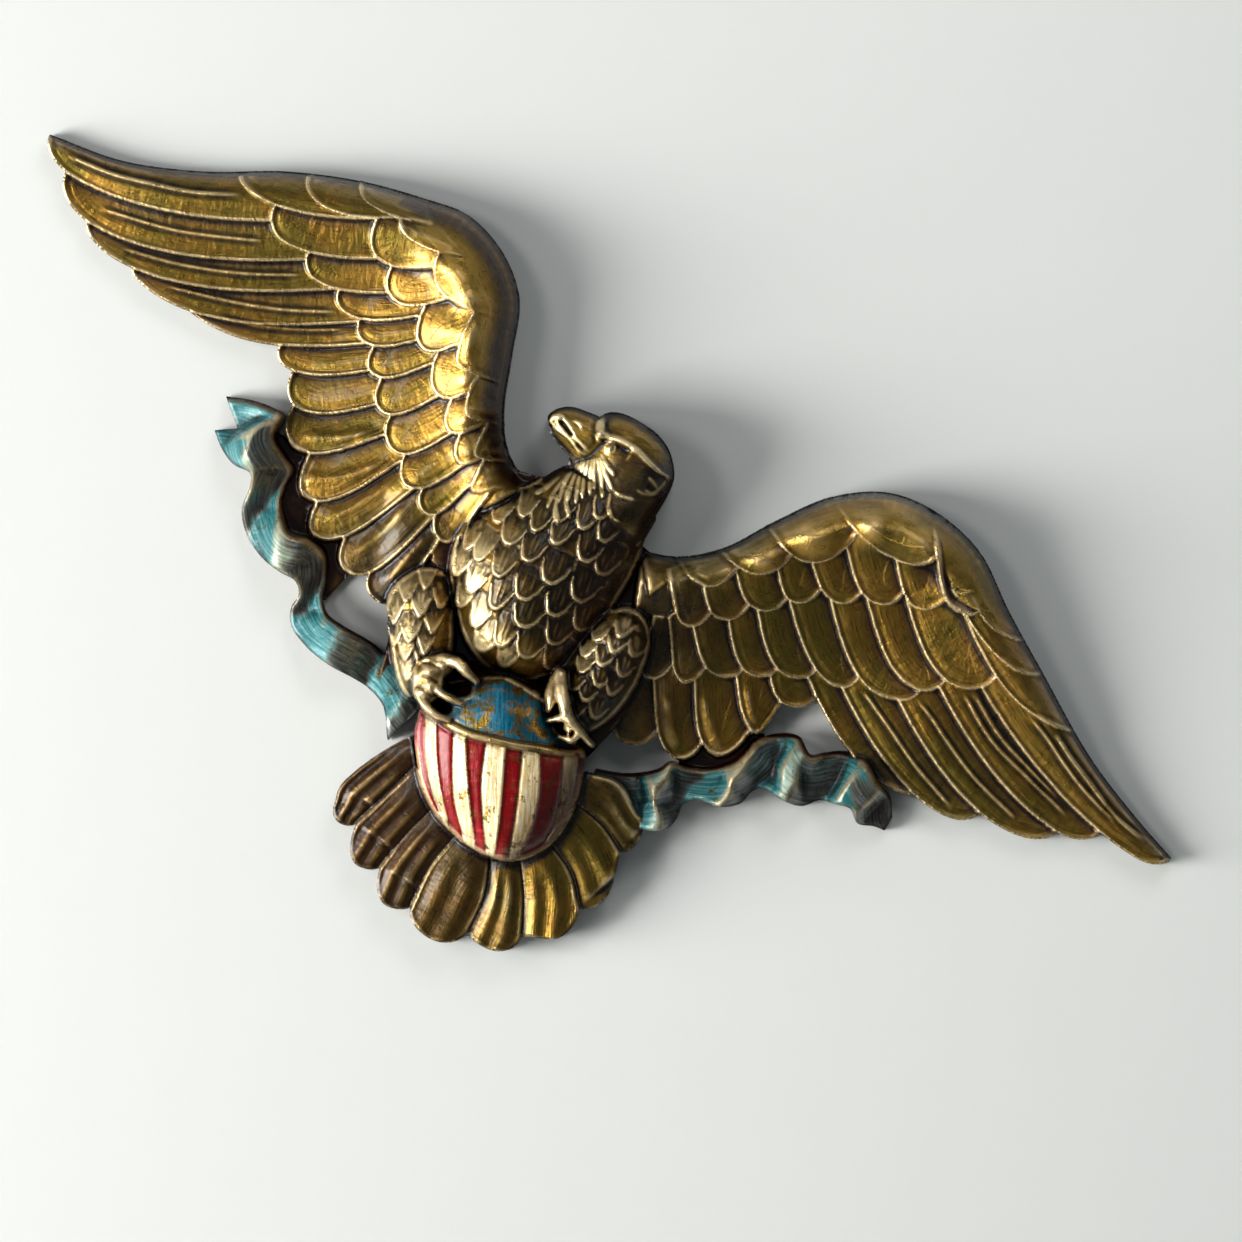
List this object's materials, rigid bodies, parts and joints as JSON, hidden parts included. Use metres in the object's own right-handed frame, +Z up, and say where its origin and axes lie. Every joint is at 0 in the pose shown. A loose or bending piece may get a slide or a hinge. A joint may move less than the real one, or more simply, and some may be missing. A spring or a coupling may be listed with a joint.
{
  "type": "eagle wall plaque",
  "caption": "Cast relief wall plaque of a spread eagle gripping a striped shield, with waved ribbons at its sides and a tail fan below, flat behind.",
  "frame": {"origin": "on the flat back between the shoulders, 106 mm below the top of the left wing", "axes": "+Z up as hung, +X to the right as seen from the front, -Y out of the front, the back in the plane y = 0"},
  "size_m": [0.687, 0.0613, 0.3288],
  "materials": {
    "gilt_paint": "worn antique gold over dark brown, with blue, red, cream and teal picked out"
  },
  "bodies": {
    "root": {"eagle_plaque": "gilt_paint"}
  },
  "joints": []
}
